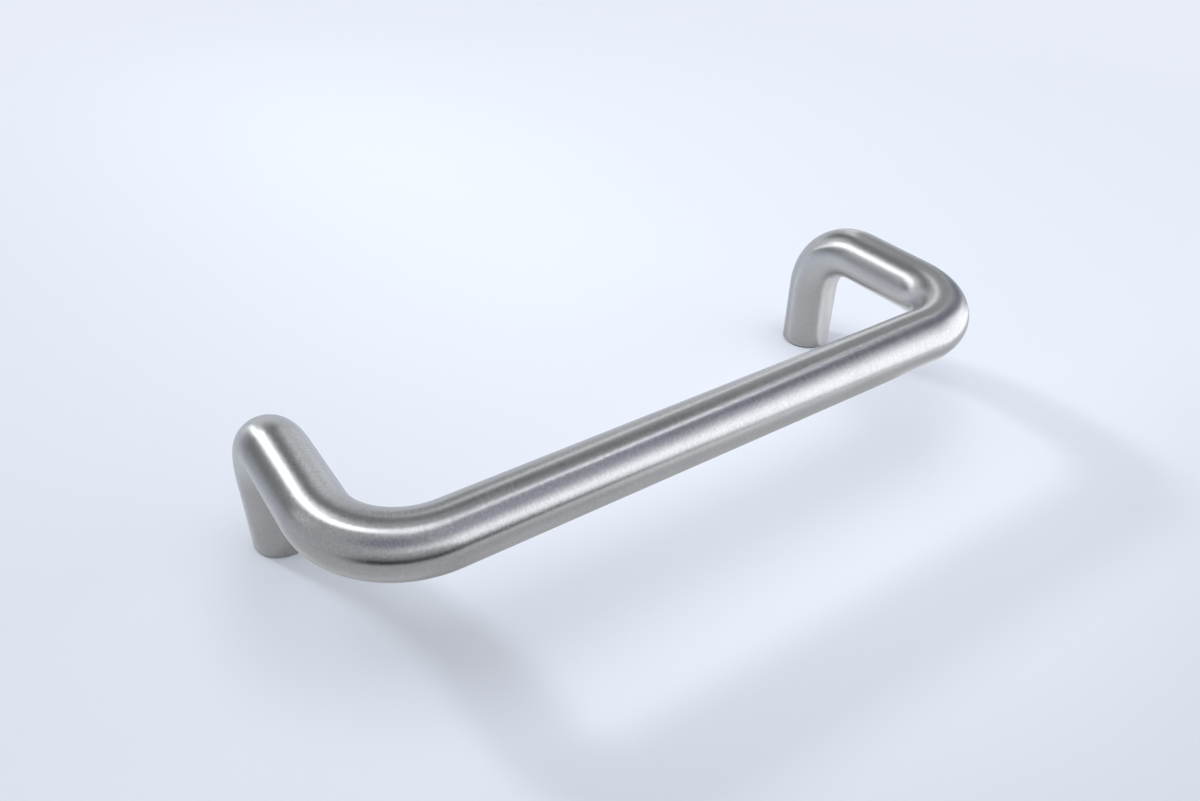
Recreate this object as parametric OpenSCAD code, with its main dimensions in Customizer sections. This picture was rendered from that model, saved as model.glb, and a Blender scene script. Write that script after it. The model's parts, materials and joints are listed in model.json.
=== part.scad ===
// Offset door pull, bent from one length of solid round bar.
// The door face is the plane z = 0, with the origin midway between the two feet.
// The legs rise along +Z, the arms reach out along -Y, and the grip runs along X.

/* [Bar] */
// Diameter of the round bar
bar_d = 19; // [12:0.5:28]

/* [Layout] */
// Distance between the feet, centre to centre
foot_centres = 230; // [120:5:600]
// Offset of the grip from the line of the feet, centre to centre
grip_offset = 75; // [55:1:160]
// Stand-off from the door face to the front of the grip
projection = 57; // [45:1:110]

/* [Bends] */
// Radius of the bends between the legs and the arms, at the centre of the bar
leg_bend_r = 22; // [16:0.5:34]
// Radius of the bends between the arms and the grip, at the centre of the bar
grip_bend_r = 26; // [16:0.5:50]

/* [Feet] */
// Width of the chamfer round the rim of each foot
rim_chamfer = 0.5; // [0.2:0.1:2]
// Diameter of the hole drilled for the fixing thread
tap_drill_d = 5.2; // [3.3:0.1:7]
// Depth of that hole at its full diameter
tap_drill_depth = 24; // [12:1:30]
// Width of the chamfer at the mouth of the hole
mouth_chamfer = 0.9; // [0.3:0.1:1.5]
// Included angle of the drill point at the bottom of the hole
drill_point_angle = 118; // [90:1:140]

/* [Hidden] */
$fn = 96;
satin_steel = [0.66, 0.67, 0.69];

// Height of the centre of the arms and the grip above the door face
axis_height = projection - bar_d / 2;
leg_length = axis_height - leg_bend_r;
arm_length = grip_offset - leg_bend_r - grip_bend_r;
grip_length = foot_centres - 2 * grip_bend_r;

tap_drill_r = tap_drill_d / 2;
drill_point_depth = tap_drill_r / tan(drill_point_angle / 2);
// How far the hole's cutter starts below the foot
cut_margin = 1;

// The bar is laid out as it is bent: each module starts at the origin, heading along +Z,
// and hands the place and heading at its far end to its children.

// The chamfered rim at the cut end of the bar
module foot_rim() {
    cylinder(d1 = bar_d - 2 * rim_chamfer, d2 = bar_d, h = rim_chamfer);
    translate([0, 0, rim_chamfer]) children();
}

// A straight run of the bar
module straight(length) {
    cylinder(d = bar_d, h = length);
    translate([0, 0, length]) children();
}

// A quarter bend towards -X, with the bar first rolled about its own axis
module bend(radius, roll) {
    rotate(roll) {
        translate([-radius, 0, 0])
            rotate([90, 0, 0])
                rotate_extrude(angle = 90)
                    translate([radius, 0])
                        circle(d = bar_d);
        translate([-radius, 0, radius])
            rotate([0, -90, 0])
                children();
    }
}

// One end of the pull, from the foot at -X to the start of the grip
module bent_end() {
    translate([-foot_centres / 2, 0, 0])
        foot_rim()
            straight(leg_length - rim_chamfer)
                bend(leg_bend_r, roll = 90)
                    straight(arm_length)
                        bend(grip_bend_r, roll = 90);
}

// The straight grip between the two ends
module grip() {
    translate([-grip_length / 2, -grip_offset, axis_height])
        rotate([0, 90, 0])
            straight(grip_length);
}

// Cutter for a blind tapped hole: countersunk mouth, plain bore at the thread's core, drill point
module tapped_hole() {
    rotate_extrude()
        polygon([
            [0, -cut_margin],
            [tap_drill_r + mouth_chamfer + cut_margin, -cut_margin],
            [tap_drill_r, mouth_chamfer],
            [tap_drill_r, tap_drill_depth],
            [0, tap_drill_depth + drill_point_depth],
        ]);
}

module pull_handle() {
    color(satin_steel)
        difference() {
            union() {
                bent_end();
                grip();
                mirror([1, 0, 0]) bent_end();
            }
            for (side = [-1, 1])
                translate([side * foot_centres / 2, 0, 0]) tapped_hole();
        }
}

pull_handle();
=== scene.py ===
"""An offset door pull in satin stainless steel.

One round bar, bent four times, with a tapped hole in each foot.
"""
import json
import math

import bpy
import numpy as np
from mathutils import Matrix, Vector


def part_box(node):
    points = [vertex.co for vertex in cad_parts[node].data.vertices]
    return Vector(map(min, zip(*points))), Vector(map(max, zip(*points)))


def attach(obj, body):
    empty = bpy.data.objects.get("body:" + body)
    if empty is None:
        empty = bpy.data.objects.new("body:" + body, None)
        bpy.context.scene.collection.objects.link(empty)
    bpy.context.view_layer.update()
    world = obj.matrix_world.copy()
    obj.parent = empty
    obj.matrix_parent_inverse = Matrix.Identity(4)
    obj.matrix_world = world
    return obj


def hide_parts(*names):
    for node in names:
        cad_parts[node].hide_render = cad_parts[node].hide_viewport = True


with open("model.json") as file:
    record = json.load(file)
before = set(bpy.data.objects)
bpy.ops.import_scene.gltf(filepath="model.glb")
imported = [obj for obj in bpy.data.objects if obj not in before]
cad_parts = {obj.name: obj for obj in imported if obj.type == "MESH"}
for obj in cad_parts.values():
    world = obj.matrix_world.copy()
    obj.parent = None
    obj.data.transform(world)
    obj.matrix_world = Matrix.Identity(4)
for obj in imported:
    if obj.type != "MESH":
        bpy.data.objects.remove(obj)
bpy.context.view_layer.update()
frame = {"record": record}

MM = 0.001
DEGREES = 180 / math.pi

# The bar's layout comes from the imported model: the fixing holes give the feet, and the box gives the rest.
fixing = next(m for m in frame["record"]["mounts"] if m["name"] == "fixing_holes")
low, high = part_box("pull_handle")
FOOT_CENTRES = fixing["dims"]["spacing_x_mm"] * MM
CORE_R = fixing["dims"]["hole_r_mm"] * MM
BAR_R = high.x - FOOT_CENTRES / 2
GRIP_OFFSET = -(low.y + BAR_R)
AXIS_HEIGHT = high.z - BAR_R

# Radii of the bends, at the centre of the bar
LEG_BEND_R = 22 * MM
GRIP_BEND_R = 26 * MM

# The cut ends of the bar and the holes in them
RIM_CHAMFER = 0.5 * MM
MOUTH_CHAMFER = 0.9 * MM
HOLE_DEPTH = 24 * MM
DRILL_POINT = math.radians(118)

# The fixing thread, 20 turns to the inch on a quarter inch. It deepens at its start and fades at its end.
THREAD_MAJOR_R = 3.175 * MM
THREAD_PITCH = 1.27 * MM
THREAD_END = 22 * MM
THREAD_LEAD_IN = 0.5 * THREAD_PITCH
THREAD_RUN_OUT = 1.5 * THREAD_PITCH

# The flanks of the thread's groove, in shares of half a pitch from the middle of its root
ROOT_END = 0.13
CREST_START = 0.75

# How finely the surfaces are divided, and the angle from which an edge stays sharp
ROUND_STEPS = 112
BEND_STEPS = 44
STRAIGHT_STEP = 5 * MM
THREAD_STEPS_PER_TURN = 12
SHARP_ANGLE = math.radians(28)

# The unwrapped skin: the bar in three rows, one above the other, and the feet in a column beside them
MAP_ROWS = 3
GIRTH = 2 * math.pi * BAR_R
MAP_GAP = 1.5 * MM
MAP_SIDE = MAP_ROWS * (GIRTH + MAP_GAP) + MAP_GAP
ROW_MARGIN = 3 * MM
FEET_COLUMN = 151 * MM


class Wire:
    """An output in a node tree. Arithmetic on wires adds the nodes that work it out."""

    def __init__(self, tree, socket=None):
        self.tree = tree
        self.socket = socket

    def add(self, kind, settings, sockets, out=0):
        """Adds a node: its settings first, then the values or wires of its inputs. Gives one output."""
        node = self.tree.nodes.new(kind)
        for name, value in settings.items():
            setattr(node, name, value)
        for name, value in sockets.items():
            if isinstance(value, Wire):
                self.tree.links.new(value.socket, node.inputs[name])
            else:
                node.inputs[name].default_value = value
        return Wire(self.tree, node.outputs[out] if node.outputs else None)

    def math(self, operation, *terms):
        return self.add("ShaderNodeMath", {"operation": operation}, dict(enumerate(terms)))

    def __add__(self, other):
        return self.math("ADD", self, other)

    def __radd__(self, other):
        return self.math("ADD", other, self)

    def __sub__(self, other):
        return self.math("SUBTRACT", self, other)

    def __rsub__(self, other):
        return self.math("SUBTRACT", other, self)

    def __mul__(self, other):
        return self.math("MULTIPLY", self, other)

    def __rmul__(self, other):
        return self.math("MULTIPLY", other, self)

    def __abs__(self):
        return self.math("ABSOLUTE", self)

    def reach(self, other):
        """The distance of the point whose two parts are this and the other."""
        return self.math("SQRT", self * self + other * other)

    def bearing(self, other):
        """The angle, in degrees, of the point that is this far to the side and the other far ahead."""
        return self.math("ARCTAN2", self, other) * DEGREES

    def rise(self, start, end):
        """0 before start and 1 after end, with a smooth slope between them. An end before the start falls."""
        sockets = {"Value": self, "From Min": start, "From Max": end}
        return self.add("ShaderNodeMapRange", {"interpolation_type": "SMOOTHSTEP"}, sockets)

    def between(self, start, end, soft):
        """1 between start and end, with an edge of the given softness."""
        return self.rise(start - soft / 2, start + soft / 2) * self.rise(end + soft / 2, end - soft / 2)

    def stretched(self, factors):
        """This vector with each of its parts multiplied by its own factor."""
        return self.add("ShaderNodeVectorMath", {"operation": "MULTIPLY"}, {0: self, 1: factors})

    def part(self, axis):
        return self.add("ShaderNodeSeparateXYZ", {}, {0: self}, out="XYZ".index(axis))

    def noise(self, size, detail):
        """Noise from 0 to 1, with features of the given size at this place."""
        sockets = {"Vector": self, "Scale": 1 / size, "Detail": detail, "Roughness": 0.55}
        return self.add("ShaderNodeTexNoise", {}, sockets)

    def bump(self, height, strength):
        """The normal of a surface that stands up by this share of the given height."""
        sockets = {"Strength": strength, "Distance": height, "Height": self}
        return self.add("ShaderNodeBump", {}, sockets)

    def blend(self, colour_0, colour_1):
        """From one colour to the other as this goes from 0 to 1."""
        sockets = {"Factor": self, 6: colour_0, 7: colour_1}
        return self.add("ShaderNodeMix", {"data_type": "RGBA"}, sockets, out=2)

    def bright(self, colour):
        """A colour, made this many times as bright."""
        return self.add("ShaderNodeVectorMath", {"operation": "SCALE"}, {0: colour, "Scale": self})

    def choose(self, shader_0, shader_1):
        """From one shader to the other as this goes from 0 to 1."""
        return self.add("ShaderNodeMixShader", {}, {0: self, 1: shader_0, 2: shader_1})


def grey(level, tint=(1.0, 1.0, 1.0)):
    return tuple(level * part for part in tint) + (1.0,)


def new_material(name):
    material = bpy.data.materials.new(name)
    material.use_nodes = True
    material.node_tree.nodes.clear()
    return material, Wire(material.node_tree)


def finish_metal(wire, sockets):
    """A metal surface with the given sockets, joined to the tree's output."""
    metal = wire.add("ShaderNodeBsdfPrincipled", {}, {"Metallic": 1.0, **sockets})
    wire.add("ShaderNodeOutputMaterial", {}, {"Surface": metal})


def unbent_place(wire):
    """The place on the bar before it was bent: along its axis, then the two ways across it."""
    return wire.add("ShaderNodeAttribute", {"attribute_name": "unbent"}, {}, out="Vector")


def satin_steel():
    """Stainless steel bar, belt finished round its girth and then lightly buffed."""
    material, wire = new_material("satin_steel")
    place = unbent_place(wire)
    # The marks of the belt run round the bar, so they are short along it and long across it.
    belt = place.stretched((1.0, 0.02, 0.02)).noise(0.08 * MM, 1.0)
    strokes = place.stretched((1.0, 0.06, 0.06)).noise(0.75 * MM, 3.0)
    # The buffing left fine specks and wide, faint clouds.
    speck = place.stretched((1.0, 0.7, 0.7)).noise(0.45 * MM, 3.0)
    cloud = place.noise(14 * MM, 2.0)
    tone = (cloud - 0.5) * 0.6 + (strokes - 0.5) * 0.4 + (speck - 0.5) * 2.0 + 0.5
    colour = tone.blend(grey(0.48), grey(0.60))
    roughness = 0.20 + (strokes - 0.5) * 0.02 + (speck - 0.5) * 0.08 + (cloud - 0.5) * 0.05
    finish_metal(wire, {"Base Color": colour, "Roughness": roughness, "Normal": belt.bump(0.02 * MM, 1.0)})
    return material


def cut_steel():
    """The faced end of the bar, with the fine rings that the cutting tool left."""
    material, wire = new_material("cut_steel")
    place = unbent_place(wire)
    tool_feed = 0.22 * MM
    radius = place.part("Y").reach(place.part("Z"))
    rings = wire.math("SINE", radius * (2 * math.pi / tool_feed))
    patches = place.noise(0.9 * MM, 3.0)
    tone = rings * 0.12 + (patches - 0.5) * 0.8 + 0.5
    colour = tone.blend(grey(0.50, (1.0, 0.985, 0.96)), grey(0.60, (1.0, 0.99, 0.97)))
    roughness = 0.30 + (patches - 0.5) * 0.16
    bump = (rings * 0.5 + patches * 0.6).bump(0.008 * MM, 0.6)
    finish_metal(wire, {"Base Color": colour, "Roughness": roughness, "Normal": bump})
    return material


def tapped_steel():
    """The wall of a tapped hole: bright flanks with the short tears of the tap."""
    material, wire = new_material("tapped_steel")
    tears = unbent_place(wire).stretched((1.0, 0.25, 0.25)).noise(0.12 * MM, 3.0)
    colour = tears.blend(grey(0.42, (1.0, 0.98, 0.95)), grey(0.58, (1.0, 0.99, 0.97)))
    roughness = 0.24 + tears * 0.16
    finish_metal(wire, {"Base Color": colour, "Roughness": roughness, "Normal": tears.bump(0.01 * MM, 0.5)})
    return material


class Station:
    """A cross-section of the bar: its centre, its heading, a way across it, and its place along the bar."""

    def __init__(self, centre, heading, across, run=0.0):
        self.centre = Vector(centre)
        self.heading = Vector(heading)
        self.across = Vector(across)
        self.run = run

    def straight(self, length):
        """Stations along a straight run that starts here, without this one."""
        count = max(1, round(length / STRAIGHT_STEP))
        for step in range(1, count + 1):
            gone = length * step / count
            yield Station(self.centre + self.heading * gone, self.heading, self.across, self.run + gone)

    def bend(self, radius, towards):
        """Stations round a quarter bend that starts here and ends with the given heading."""
        axis = self.heading.cross(Vector(towards))
        middle = self.centre + Vector(towards) * radius
        for step in range(1, BEND_STEPS + 1):
            turn = math.pi / 2 * step / BEND_STEPS
            turned = Matrix.Rotation(turn, 3, axis)
            centre = middle + turned @ (self.centre - middle)
            yield Station(centre, turned @ self.heading, turned @ self.across, self.run + radius * turn)

    def point(self, radius, angle, depth=0.0):
        """A point round this station, moved along the bar by a depth, and its place before bending."""
        other = self.heading.cross(self.across)
        out = self.across * math.cos(angle) + other * math.sin(angle)
        place = self.centre + out * radius + self.heading * depth
        return place, (self.run + depth, radius * math.cos(angle), radius * math.sin(angle))


def bar_stations():
    """Stations from the left foot to the right foot, in the order in which the bar is bent."""
    leg = AXIS_HEIGHT - LEG_BEND_R
    arm = GRIP_OFFSET - LEG_BEND_R - GRIP_BEND_R
    grip = FOOT_CENTRES - 2 * GRIP_BEND_R
    moves = [
        (Station.straight, leg),
        (Station.bend, LEG_BEND_R, (0, -1, 0)),
        (Station.straight, arm),
        (Station.bend, GRIP_BEND_R, (1, 0, 0)),
        (Station.straight, grip),
        (Station.bend, GRIP_BEND_R, (0, 1, 0)),
        (Station.straight, arm),
        (Station.bend, LEG_BEND_R, (0, 0, -1)),
        (Station.straight, leg),
    ]
    stations = [Station((-FOOT_CENTRES / 2, 0, 0), (0, 0, 1), (1, 0, 0))]
    for move, *how in moves:
        stations.extend(move(stations[-1], *how))
    return stations


class BarMesh:
    """Gathers rings of points into one closed skin, with the place of each point before bending."""

    def __init__(self):
        self.points = []
        self.places = []
        self.faces = []
        self.finishes = []
        self.map_places = []

    def ring(self, station, radius, depth=0.0):
        """A ring of points round a station. The radius may be a function of the angle."""
        first = len(self.points)
        for step in range(ROUND_STEPS):
            angle = 2 * math.pi * step / ROUND_STEPS
            size = radius(angle) if callable(radius) else radius
            point, place = station.point(size, angle, depth)
            self.points.append(point)
            self.places.append(place)
        return first

    def unwrap(self, row, *corners):
        """Places a face on the map: each corner by its place along a row and its step round the bar."""
        for along, step in corners:
            up = MAP_GAP + row * (GIRTH + MAP_GAP) + GIRTH * step / ROUND_STEPS
            self.map_places.append((along / MAP_SIDE, up / MAP_SIDE))

    def skin(self, ring_a, ring_b, finish, row, along_a, along_b):
        """Faces between two rings, facing outwards where ring_b is further along the bar."""
        for step in range(ROUND_STEPS):
            after = (step + 1) % ROUND_STEPS
            self.faces.append((ring_a + step, ring_a + after, ring_b + after, ring_b + step))
            self.finishes.append(finish)
            self.unwrap(row, (along_a, step), (along_a, step + 1), (along_b, step + 1), (along_b, step))

    def tip(self, ring, station, depth, inwards, finish, row, along, along_tip):
        """Closes the bottom of a hole with a cone."""
        point, place = station.point(0.0, 0.0, depth)
        self.points.append(point)
        self.places.append(place)
        tip = len(self.points) - 1
        for step in range(ROUND_STEPS):
            after = (step + 1) % ROUND_STEPS
            around = [(ring + step, step), (ring + after, step + 1)]
            first, second = reversed(around) if inwards else around
            self.faces.append((first[0], second[0], tip))
            self.finishes.append(finish)
            self.unwrap(row, (along, first[1]), (along, second[1]), (along_tip, step + 0.5))


def thread_groove(turn):
    """Depth of the thread's groove, from 0 at its crest to 1 at its root, at a share of a turn."""
    from_root = abs(turn % 1.0 - 0.5) * 2
    return min(1.0, max(0.0, (CREST_START - from_root) / (CREST_START - ROOT_END)))


def thread_radius(depth, way):
    """The radius of the tapped wall, by angle, at a depth in the hole.

    The way is that of add_foot, and keeps both threads right-handed.
    """
    fade = min(1.0, (depth - MOUTH_CHAMFER) / THREAD_LEAD_IN, (THREAD_END - depth) / THREAD_RUN_OUT)
    reach = (THREAD_MAJOR_R - CORE_R) * max(0.0, fade)
    return lambda angle: CORE_R + reach * thread_groove(depth / THREAD_PITCH - way * angle / (2 * math.pi))


def add_foot(mesh, foot, way):
    """The cut end of the bar and its tapped hole. Gives the ring to which the bar is joined.

    The way is 1 where the bar leaves the foot and -1 where it ends.
    """
    edge = RIM_CHAMFER
    mouth = CORE_R + MOUTH_CHAMFER
    # From the side of the bar in to the wall of the hole. The chamfer's own edges are slightly broken.
    outline = [
        (BAR_R, 1.16 * edge),
        (BAR_R - 0.04 * edge, edge),
        (BAR_R - 0.9 * edge, 0.1 * edge),
        (BAR_R - 1.1 * edge, 0.0),
        (0.5 * (BAR_R + mouth), 0.0),
        (mouth, 0.0),
        (CORE_R, MOUTH_CHAMFER),
    ]
    rings = [mesh.ring(foot, radius, way * depth) for radius, depth in outline]
    lengths = [math.dist(*ends) for ends in zip(outline, outline[1:])]
    finishes = ["satin", "satin", "cut", "cut", "cut", "cut"]
    steps = round((HOLE_DEPTH - MOUTH_CHAMFER) / THREAD_PITCH * THREAD_STEPS_PER_TURN)
    step_length = (HOLE_DEPTH - MOUTH_CHAMFER) / steps
    for step in range(1, steps + 1):
        depth = MOUTH_CHAMFER + step_length * step
        rings.append(mesh.ring(foot, thread_radius(depth, way), way * depth))
        lengths.append(step_length)
        finishes.append("tapped")

    row = 0 if way > 0 else 1
    along = FEET_COLUMN
    for number, finish in enumerate(finishes):
        ends = [(rings[number], along), (rings[number + 1], along + lengths[number])]
        (ring_a, along_a), (ring_b, along_b) = reversed(ends) if way > 0 else ends
        mesh.skin(ring_a, ring_b, finish, row, along_a, along_b)
        along += lengths[number]
    point_depth = HOLE_DEPTH + CORE_R / math.tan(DRILL_POINT / 2)
    point_length = CORE_R / math.sin(DRILL_POINT / 2)
    mesh.tip(rings[-1], foot, way * point_depth, way > 0, "tapped", row, along, along + point_length)
    return rings[0]


def make_pull():
    """The whole pull as one mesh."""
    stations = bar_stations()
    mesh = BarMesh()
    rings = [add_foot(mesh, stations[0], 1)]
    rings += [mesh.ring(station, BAR_R) for station in stations[1:-1]]
    rings.append(add_foot(mesh, stations[-1], -1))
    row_length = stations[-1].run / MAP_ROWS
    for number in range(len(rings) - 1):
        runs = [station.run for station in stations[number : number + 2]]
        row = int(sum(runs) / 2 / row_length)
        along = [ROW_MARGIN + run - row * row_length for run in runs]
        mesh.skin(*rings[number : number + 2], "satin", row, *along)

    data = bpy.data.meshes.new("bent_bar")
    data.from_pydata(mesh.points, [], mesh.faces)
    places = np.array(mesh.places, dtype=np.float32)
    data.attributes.new("unbent", "FLOAT_VECTOR", "POINT").data.foreach_set("vector", places.ravel())
    skin_map = data.uv_layers.new(name="OFBake")
    skin_map.data.foreach_set("uv", np.array(mesh.map_places, dtype=np.float32).ravel())
    finishes = {"satin": satin_steel(), "cut": cut_steel(), "tapped": tapped_steel()}
    for material in finishes.values():
        data.materials.append(material)
    order = list(finishes)
    data.polygons.foreach_set("material_index", [order.index(finish) for finish in mesh.finishes])
    data.shade_smooth()
    data.set_sharp_from_angle(angle=SHARP_ANGLE)
    data.validate()
    pull = bpy.data.objects.new("bent_bar", data)
    bpy.context.scene.collection.objects.link(pull)
    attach(pull, "root")
    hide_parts("pull_handle")


make_pull()

# The studio

# The middle of the set, to which the lamps are turned, and how far from it they stand
MIDDLE = Vector((0.0, -0.04, 0.03))
METAL_LAMPS_AT = 0.9
TABLE_LAMPS_AT = 2.4

# The light is a little cool.
LIGHT_TINT = (0.965, 0.993, 1.035)

# The far table and the backdrop show this one colour.
BACKDROP = (0.805, 0.845, 0.94, 1.0)

# The table: half its side, and its height, just under the feet
TABLE_HALF = 3.0
TABLE_LEVEL = -0.1 * MM

# The lower, right and left edges of the camera's frame on the table: the way out to the edge from the middle,
# the distance from which the table shows evenly lit, and the distance up to which it shows its painted fall
# of light
FRAME_EDGES = [
    ((-0.563, -0.826), 0.28, 0.165),
    ((0.504, -0.864), 0.36, 0.215),
    ((-0.992, 0.125), 0.32, 0.205),
]


def direction(azimuth, elevation):
    """The way to a point in the studio, in degrees: azimuth 0 is behind the pull, 90 to its right."""
    a, e = math.radians(azimuth), math.radians(elevation)
    return Vector((math.sin(a) * math.cos(e), math.cos(a) * math.cos(e), math.sin(e)))


def strip_lamp(name, start, end, width, glow, in_metal=True):
    """A long soft lamp between two directions. Its glow is how many times white.

    It shows in the metal and doesn't light the table, or the other way round.
    """
    distance = METAL_LAMPS_AT if in_metal else TABLE_LAMPS_AT
    a = MIDDLE + direction(*start) * distance
    b = MIDDLE + direction(*end) * distance
    centre = (a + b) / 2
    along = (b - a).normalized()
    back = centre - MIDDLE
    back = (back - along * back.dot(along)).normalized()
    side = back.cross(along)
    light = bpy.data.lights.new(name, "AREA")
    light.shape = "RECTANGLE"
    light.color = LIGHT_TINT
    light.size = (b - a).length
    light.size_y = width
    light.energy = glow * math.pi * light.size * light.size_y
    lamp = bpy.data.objects.new(name, light)
    lamp.matrix_world = Matrix.Translation(centre) @ Matrix((along, side, back)).transposed().to_4x4()
    lamp.visible_camera = False
    lamp.visible_glossy = in_metal
    lamp.visible_diffuse = not in_metal
    bpy.context.scene.collection.objects.link(lamp)


# Lamps that show in the metal
strip_lamp("back_left_low", (-15, 2), (-30, 24), 0.11, 1.6)
strip_lamp("back_left_lamp", (-19, 22), (-36, 38), 0.19, 2.4)
strip_lamp("back_left_glow", (-21, 41), (-45, 59), 0.13, 0.8)
strip_lamp("left_lamp", (-36, 39), (-61, 52), 0.18, 2.2)
strip_lamp("upper_left_lamp", (-61, 52), (-92, 69), 0.17, 2.0)
strip_lamp("overhead_panel", (-110, 69), (146, 76), 0.26, 1.1)
strip_lamp("right_line_low", (74, 41), (95, 55), 0.06, 1.35)
strip_lamp("right_line_high", (95, 55), (130, 69), 0.085, 1.8)

# Lamps that light the table: a wide ceiling, and two smaller ones whose shadows fall in front of the pull
strip_lamp("ceiling", (-90, 62), (90, 62), 2.2, 1.12, in_metal=False)
strip_lamp("overhead_lamp", (-110, 73), (-80, 73), 0.40, 3.5, in_metal=False)
strip_lamp("back_lamp", (-32, 34), (-24, 34), 0.28, 56.0, in_metal=False)


def ray_is(wire, kind):
    """1 for a ray of the given kind, and 0 for any other."""
    return wire.add("ShaderNodeLightPath", {}, {}, out=f"Is {kind} Ray")


def pale_table():
    """The table's material. Near the pull its colour carries a painted fall of light, far from the pull it
    shows evenly lit, and the metal mirrors painted tones of its own.
    """
    material, wire = new_material("pale_table")
    place = wire.add("ShaderNodeNewGeometry", {}, {}, out="Position")
    across, along = place.part("X"), place.part("Y")
    away = across.reach(along)
    seen = ray_is(wire, "Camera")
    mirrored = ray_is(wire, "Glossy")

    # The table's colour carries a painted fall of light: palest in the middle, fading a little to the right
    # and more to the left and the front.
    painted_light_sideways = across.rise(-0.28, 0.06) * 0.24 - across.rise(0.06, 0.24) * 0.03
    light = painted_light_sideways - along.rise(-0.07, -0.26) * 0.24 + 0.75
    sockets = {"Base Color": light.bright((0.955, 0.985, 1.05)), "Roughness": 0.6}
    plain = wire.add("ShaderNodeBsdfPrincipled", {}, sockets)

    # In the metal the table shows a painted, greyer copy of itself: painted brighter by the right leg and in
    # front on the right, with painted shade behind on the left.
    beside = across - FOOT_CENTRES / 2
    bearing = beside.bearing(along * -1)
    painted_glow_by_leg = bearing.rise(-6, 4) * bearing.rise(130, 20) * beside.reach(along).rise(0.10, 0.06)
    front = across.rise(-0.03, 0.06) * along.rise(-0.11, -0.17)
    painted_shade_behind_left = across.rise(-0.12, -0.16) * (along + across * 1.2).rise(-0.17, -0.11)
    lit = light * (painted_glow_by_leg * 1.05 + front * 0.45 - painted_shade_behind_left * 0.4 + 1.0)
    tone = along.rise(-0.03, 0.06).blend((0.74, 0.73, 0.72, 1.0), (0.755, 0.775, 0.84, 1.0))
    sockets = {"Base Color": lit.bright(tone), "Roughness": 0.25, "Specular IOR Level": 1.0}
    shiny = wire.add("ShaderNodeBsdfPrincipled", {}, sockets)
    surface = mirrored.choose(plain, shiny)

    near = away.rise(0.75, 0.25)
    for (right, back), even_from, as_it_is in FRAME_EDGES:
        near = near * (across * right + along * back).rise(even_from, as_it_is)
    even = wire.add("ShaderNodeEmission", {}, {"Color": BACKDROP, "Strength": 1.0})
    surface = ((1 - near) * seen).choose(surface, even)

    # In the metal the table ends a little way in front of the pull, and the room below it shows.
    ended = away.rise(0.255, 0.285) * along.rise(0.02, -0.06) * mirrored
    room = wire.add("ShaderNodeBsdfTransparent", {}, {})
    surface = ended.choose(surface, room)
    wire.add("ShaderNodeOutputMaterial", {}, {"Surface": surface})
    return material


def make_floor():
    """A plain pale table that keeps the pull's shadow."""
    half, level = TABLE_HALF, TABLE_LEVEL
    corners = [(-half, -half, level), (half, -half, level), (half, half, level), (-half, half, level)]
    data = bpy.data.meshes.new("table")
    data.from_pydata(corners, [], [(0, 1, 2, 3)])
    data.materials.append(pale_table())
    floor = bpy.data.objects.new("table", data)
    bpy.context.scene.collection.objects.link(floor)


make_floor()


def tinted(level, tint=(1.0, 1.0, 1.0)):
    """A tone of the studio, in the colour of its light."""
    return grey(level, [a * b for a, b in zip(tint, LIGHT_TINT)])


COOL = (0.94, 0.955, 1.11)
LAVENDER = (0.95, 0.945, 1.09)
GREEN = (0.975, 1.02, 0.97)

# The plain wall of the studio, and the patches on it, each laid over those before it. A patch has its tone;
# its azimuth, half its width and the softness of its sides; its bottom, its top and their softness; and how
# far it leans to the left for each degree that it rises. All angles are in degrees.
WALL = tinted(0.51)
WALL_PATCHES = [
    (tinted(0.78), (18, 36, 10), (-30, 46, 10), 0.55),
    (tinted(1.22), (48, 8, 9), (0, 50, 10), 0.55),
    (tinted(0.95), (49, 9, 10), (-10, 8, 10), 0.0),
    (tinted(0.66), (29, 10, 14), (0, 25, 12), 0.0),
    (tinted(0.55), (19, 8, 10), (14, 38, 12), 0.0),
    (tinted(0.50), (85, 30, 12), (22, 80, 14), 0.55),
    (tinted(0.40), (55, 9, 10), (16, 44, 14), 0.0),
    (tinted(0.24, GREEN), (-12, 24, 16), (46, 66, 16), 0.0),
    (tinted(0.40, GREEN), (28, 18, 16), (56, 68, 16), 0.0),
    (tinted(0.22, GREEN), (82, 33, 14), (48, 66, 16), 0.55),
    (tinted(0.25, GREEN), (8, 12, 12), (16, 54, 14), 0.0),
    (tinted(0.32, COOL), (-135, 30, 14), (33, 60, 14), 0.0),
    (tinted(1.0), (-54, 5, 8), (15, 30, 10), 0.0),
    (tinted(0.25), (-36, 14, 12), (-30, 22, 12), 0.0),
    (tinted(0.29), (-165, 50, 14), (-40, 4, 10), 0.0),
    (tinted(0.03), (-160, 48, 40), (-40, -6, 5), 0.0),
    (tinted(0.50, LAVENDER), (132, 38, 16), (34, 64, 12), 0.0),
]

# The wide pale panel in front on the right, and the darker patches that are laid over its edge
PANEL = tinted(1.72)
PANEL_PATCHES = [
    (tinted(0.20, COOL), (104, 20, 10), (36, 54, 8), 0.0),
    (tinted(0.28, COOL), (86, 10, 12), (16, 46, 14), 0.0),
    (tinted(0.26, COOL), (71, 8, 8), (-12, 16, 10), 0.0),
]


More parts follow.
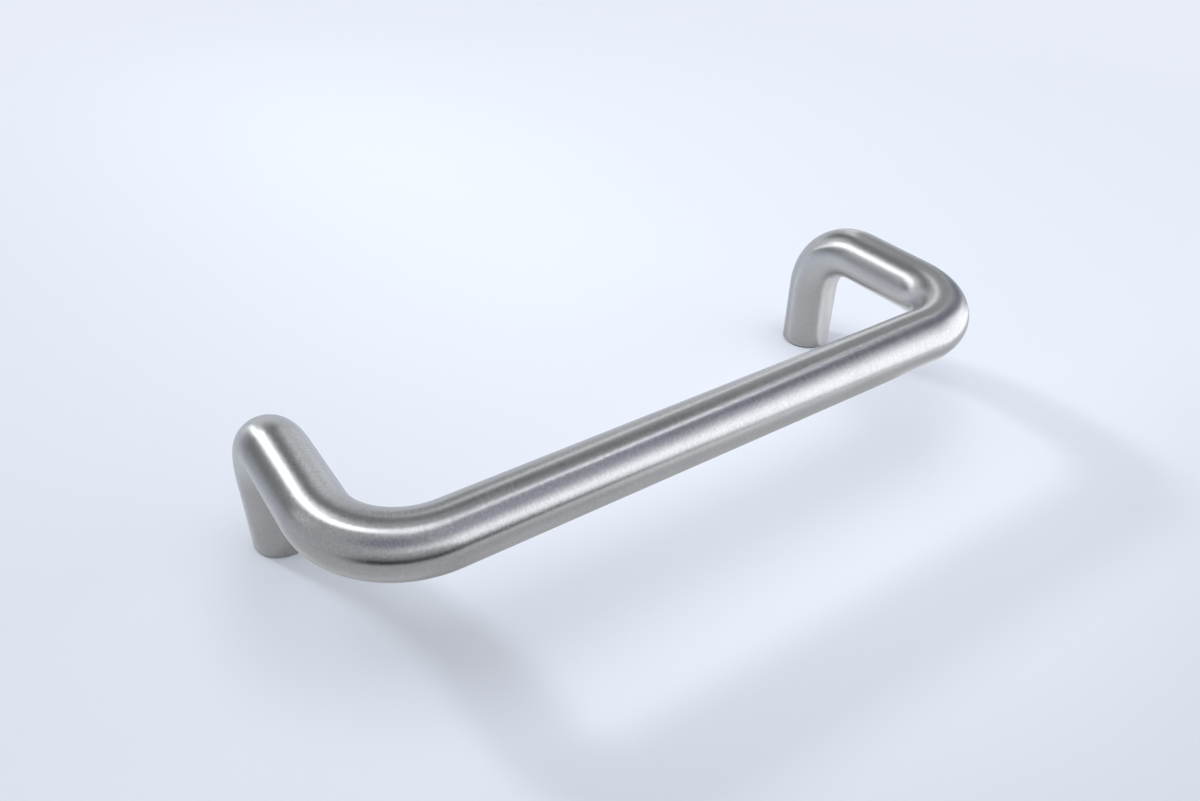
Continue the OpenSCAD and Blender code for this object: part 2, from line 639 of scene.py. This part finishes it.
def make_world():
    """A quiet grey studio, with pale and dark places on its wall that show in the metal."""
    world = bpy.data.worlds.new("studio")
    bpy.context.scene.world = world
    world.use_nodes = True
    world.node_tree.nodes.clear()
    wire = Wire(world.node_tree)
    way = wire.add("ShaderNodeTexCoord", {}, {}, out="Generated")
    height = wire.math("ARCSINE", way.part("Z")) * DEGREES
    side = way.part("X").bearing(way.part("Y"))

    def turned(middle):
        """Azimuth from a middle one, from -180 to 180."""
        return wire.math("WRAP", side - middle, 180.0, -180.0)

    def lay(patches, look):
        """The wall's look with each patch laid over those before it."""
        for tone, (middle, half, fade), (bottom, top, soft), lean in patches:
            apart = abs(turned(middle) + height * lean)
            patch = apart.rise(half + fade / 2, half - fade / 2) * height.between(bottom, top, soft)
            look = patch.blend(look, tone)
        return look

    look = lay(WALL_PATCHES, WALL)
    # The panel fades out towards the front. Its lower edge climbs that way, and then runs level.
    beside = turned(126)
    bottom = wire.math("MINIMUM", (beside - 30) * 0.85 - 1, 17.0)
    panel = (beside - height * 0.5).rise(-50, -38) * beside.rise(122, 24) * (height - bottom).rise(-3, 3)
    panel = panel * height.rise(44, 10)
    look = lay(PANEL_PATCHES, panel.blend(look, PANEL))
    look = ray_is(wire, "Camera").blend(look, BACKDROP)
    shine = wire.add("ShaderNodeBackground", {}, {"Color": look, "Strength": 1.0})
    wire.add("ShaderNodeOutputWorld", {}, {"Surface": shine})


make_world()


def make_camera():
    """The photograph's viewpoint, from a fit of the bar's outline."""
    place = (-0.16104, -0.24811, 0.22011)
    azimuth, pitch, roll = 0.5984, 0.6169, -0.0145
    focal_px, image_width, sensor = 974.15, 1200, 36.0
    level = math.cos(pitch)
    ahead = Vector((math.sin(azimuth) * level, math.cos(azimuth) * level, -math.sin(pitch)))
    right = ahead.cross(Vector((0, 0, 1))).normalized()
    down = ahead.cross(right)
    right, down = (
        right * math.cos(roll) + down * math.sin(roll),
        down * math.cos(roll) - right * math.sin(roll),
    )
    data = bpy.data.cameras.new("camera")
    data.sensor_fit = "HORIZONTAL"
    data.sensor_width = sensor
    data.lens = focal_px / image_width * sensor
    data.clip_start = 0.01
    camera = bpy.data.objects.new("camera", data)
    turn = Matrix((right, -down, -ahead)).transposed().to_4x4()
    camera.matrix_world = Matrix.Translation(place) @ turn
    bpy.context.scene.collection.objects.link(camera)
    bpy.context.scene.camera = camera


make_camera()
bpy.context.scene.view_settings.view_transform = "Standard"
